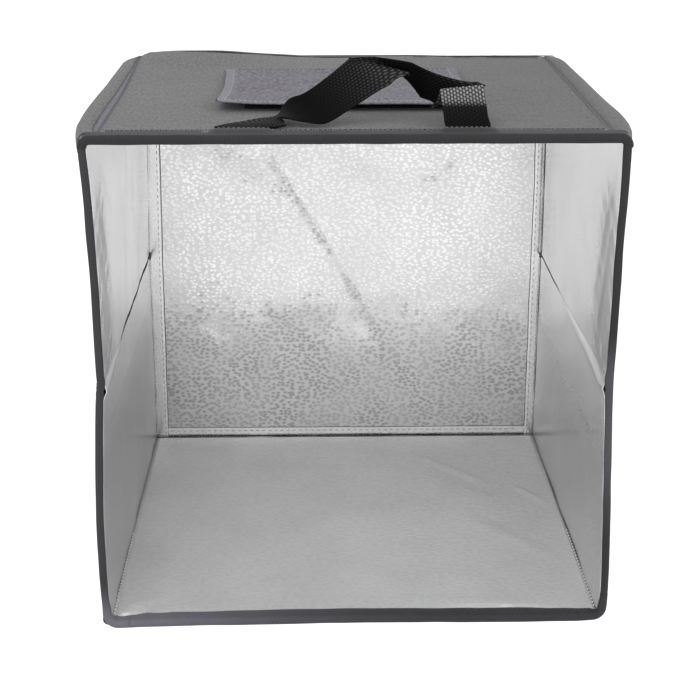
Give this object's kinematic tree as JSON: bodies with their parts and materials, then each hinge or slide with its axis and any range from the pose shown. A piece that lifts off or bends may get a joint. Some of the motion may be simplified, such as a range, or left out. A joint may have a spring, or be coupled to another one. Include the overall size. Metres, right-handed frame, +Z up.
{
  "type": "light tent cube",
  "caption": "Folding light tent cube, open at the front, with a reflective lining, side walls creased at mid height, a drop-down back panel, a window flap on top and a webbing handle.",
  "frame": {"origin": "centre of the footprint, on the surface that the cube stands on", "axes": "+Z up, the open front faces -Y, +X to the right as seen from the front"},
  "size_m": [0.31, 0.29, 0.3465],
  "materials": {
    "outer_cloth": "fine woven oxford, matte, mid grey",
    "binding_tape": "ribbed grosgrain tape, near black",
    "panel_board": "stiff grey board, not seen",
    "silver_liner": "silver film embossed with a fine pebble, satin",
    "flap_cloth": "grained coated cloth, grey with a touch of violet",
    "webbing": "coarse woven black webbing",
    "hook_and_loop": "black hook and loop tape"
  },
  "bodies": {
    "base": {"base_cover": "outer_cloth", "base_board": "panel_board", "base_liner": "silver_liner", "base_front_binding": "binding_tape", "base_rear_binding": "binding_tape"},
    "left_lower": {"left_lower_cover": "outer_cloth", "left_lower_board": "panel_board", "left_lower_liner": "silver_liner", "left_lower_front_binding": "binding_tape", "left_lower_rear_binding": "binding_tape"},
    "left_upper": {"left_upper_cover": "outer_cloth", "left_upper_board": "panel_board", "left_upper_liner": "silver_liner", "left_upper_front_binding": "binding_tape", "left_upper_rear_binding": "binding_tape", "left_hook_tape": "hook_and_loop"},
    "right_lower": {"right_lower_cover": "outer_cloth", "right_lower_board": "panel_board", "right_lower_liner": "silver_liner", "right_lower_front_binding": "binding_tape", "right_lower_rear_binding": "binding_tape"},
    "right_upper": {"right_upper_cover": "outer_cloth", "right_upper_board": "panel_board", "right_upper_liner": "silver_liner", "right_upper_front_binding": "binding_tape", "right_upper_rear_binding": "binding_tape", "right_hook_tape": "hook_and_loop"},
    "top": {"top_cover": "outer_cloth", "top_board": "panel_board", "top_liner": "silver_liner", "top_front_binding": "binding_tape", "top_rear_binding": "binding_tape", "top_hook_tape": "hook_and_loop", "window_binding": "binding_tape", "flap_loop_tape": "hook_and_loop"},
    "flap": {"flap_cover": "flap_cloth", "flap_lining": "silver_liner", "flap_hook_tape": "hook_and_loop"},
    "handle": {"handle_webbing": "webbing"},
    "back": {"back_cover": "outer_cloth", "back_board": "panel_board", "back_liner": "silver_liner", "back_hem_left": "silver_liner", "back_hem_right": "silver_liner", "back_hem_bottom": "silver_liner", "back_hem_top": "silver_liner", "back_loop_left": "hook_and_loop", "back_loop_right": "hook_and_loop", "back_loop_top": "hook_and_loop"}
  },
  "joints": [
    {"name": "fold", "type": "hinge", "parent": "base", "child": "left_lower", "pos_m": [-0.15, 0, 0.0088], "axis": [0, 1, 0], "range_deg": [0, 90]},
    {"name": "left_crease", "type": "hinge", "parent": "left_lower", "child": "left_upper", "pos_m": [-0.156, 0, 0.1525], "axis": [0, -1, 0], "range_deg": [0, 180]},
    {"name": "roof_fold", "type": "hinge", "parent": "left_upper", "child": "top", "pos_m": [-0.15, 0, 0.2962], "axis": [0, 1, 0], "range_deg": [0, 90]},
    {"name": "right_floor_fold", "type": "hinge", "parent": "base", "child": "right_lower", "pos_m": [0.15, 0, 0.0088], "axis": [0, -1, 0], "range_deg": [0, 90]},
    {"name": "right_crease", "type": "hinge", "parent": "right_lower", "child": "right_upper", "pos_m": [0.156, 0, 0.1525], "axis": [0, 1, 0], "range_deg": [0, 180]},
    {"name": "back_drop", "type": "hinge", "parent": "base", "child": "back", "pos_m": [0, 0.145, 0], "axis": [-1, 0, 0], "range_deg": [0, 90]},
    {"name": "flap_lift", "type": "hinge", "parent": "top", "child": "flap", "pos_m": [-0.005, 0.067, 0.30615], "axis": [-1, 0, 0], "range_deg": [0, 115]},
    {"name": "handle_lift", "type": "hinge", "parent": "top", "child": "handle", "pos_m": [0, -0.13, 0.306], "axis": [1, 0, 0], "range_deg": [0, 90]}
  ],
  "couplings": [
    {"joint": "left_crease", "follows": "fold", "ratio": 2},
    {"joint": "roof_fold", "follows": "fold", "ratio": 1},
    {"joint": "right_floor_fold", "follows": "fold", "ratio": 1},
    {"joint": "right_crease", "follows": "fold", "ratio": 2}
  ]
}
